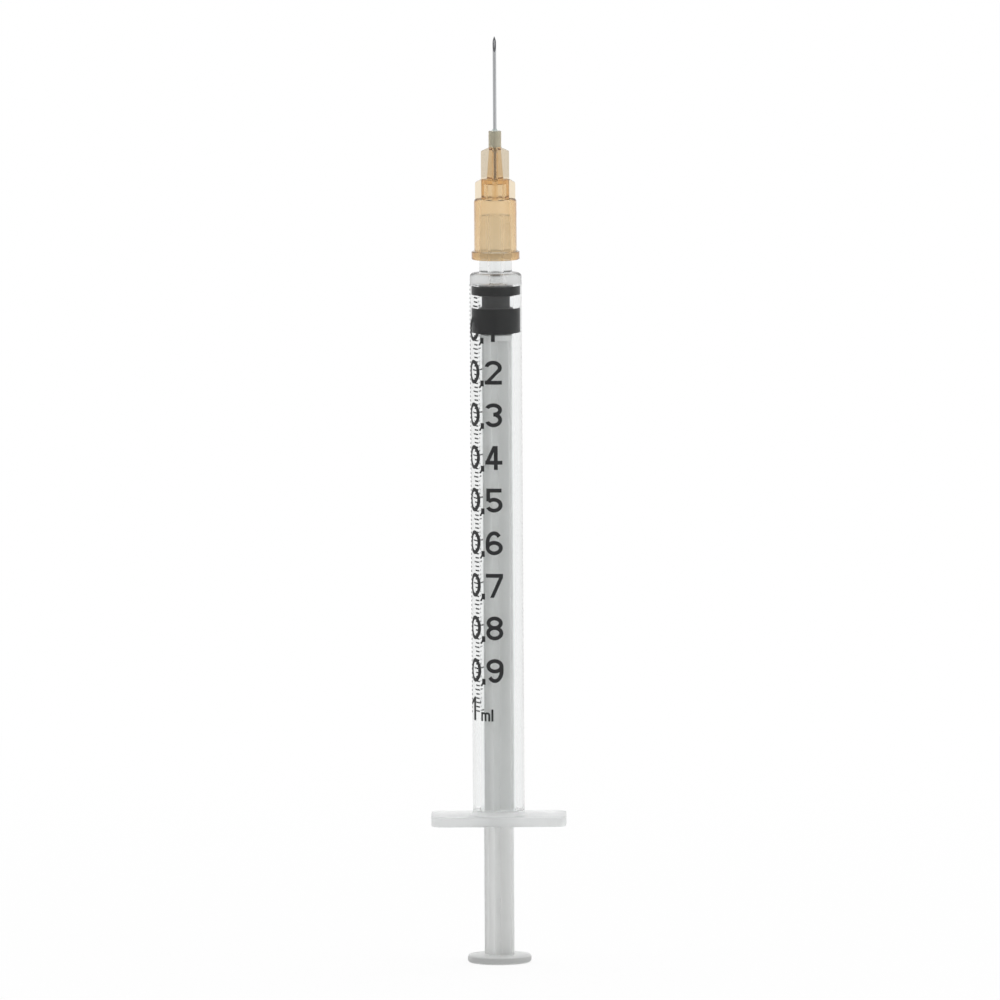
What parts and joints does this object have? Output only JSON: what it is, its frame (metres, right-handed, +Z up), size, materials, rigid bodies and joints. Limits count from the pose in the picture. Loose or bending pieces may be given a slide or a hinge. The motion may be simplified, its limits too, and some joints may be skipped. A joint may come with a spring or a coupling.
{
  "type": "insulin syringe",
  "caption": "Slim graduated syringe: clear barrel with finger flange, cross-ribbed plunger rod with thumb press, rubber stopper, and a slide-on tapered hub with a ground steel needle.",
  "frame": {"origin": "centre of the thumb press's flat underside, which is the lowest point, with the plunger fully in", "axes": "+Z up along the syringe's axis towards the needle's point; +X along the finger flange's width; -Y is the front, with the numerals"},
  "size_m": [0.018, 0.0094, 0.1239],
  "materials": {
    "clear_plastic": "clear polypropylene, faintly cloudy, glossy",
    "rod_plastic": "milky translucent polypropylene, satin",
    "stopper_rubber": "black moulded rubber, lightly siliconed",
    "hub_plastic": "light brown translucent polypropylene",
    "needle_steel": "drawn stainless steel, polished",
    "adhesive": "cured clear resin",
    "black_ink": "printed black ink"
  },
  "bodies": {
    "plunger": {"plunger_rod": "rod_plastic"},
    "stopper": {"stopper": "stopper_rubber"},
    "barrel": {"barrel": "clear_plastic", "long_graduations": "black_ink", "half_graduations": "black_ink", "short_graduations": "black_ink", "numeral_0_1": "black_ink", "numeral_0_2": "black_ink", "numeral_0_3": "black_ink", "numeral_0_4": "black_ink", "numeral_0_5": "black_ink", "numeral_0_6": "black_ink", "numeral_0_7": "black_ink", "numeral_0_8": "black_ink", "numeral_0_9": "black_ink", "numeral_1": "black_ink", "unit_mark": "black_ink"},
    "needle": {"needle_hub": "hub_plastic", "cannula": "needle_steel", "adhesive_bead": "adhesive"}
  },
  "joints": [
    {"name": "rod_spin", "type": "hinge", "parent": "plunger", "child": "stopper", "pos_m": [0, 0, 0.0865], "axis": [0, 0, 1], "continuous": true},
    {"name": "plunger_slide", "type": "slide", "parent": "stopper", "child": "barrel", "axis": [0, 0, 1], "range_m": [0, 0.0632]},
    {"name": "needle_pull", "type": "slide", "parent": "barrel", "child": "needle", "axis": [0, 0, 1], "range_m": [0, 0.015]}
  ]
}
